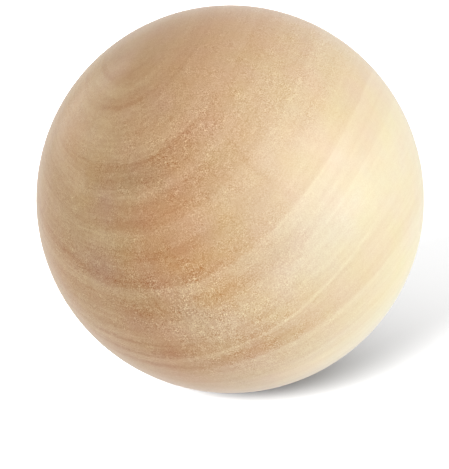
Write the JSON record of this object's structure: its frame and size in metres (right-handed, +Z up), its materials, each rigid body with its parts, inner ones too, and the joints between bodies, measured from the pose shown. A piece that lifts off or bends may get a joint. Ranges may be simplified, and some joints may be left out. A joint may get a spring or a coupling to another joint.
{
  "type": "wooden ball",
  "caption": "Plain turned wooden ball, used as a loose stopper that sits in a round mouth.",
  "frame": {"origin": "centre of the ball", "axes": "+Z up, away from the round mouth that the ball sits in; +Y to the back; the ball is the same round any axis"},
  "size_m": [0.06, 0.06, 0.06],
  "materials": {
    "pale_wood": "matte"
  },
  "bodies": {
    "root": {"ball": "pale_wood"}
  },
  "joints": []
}
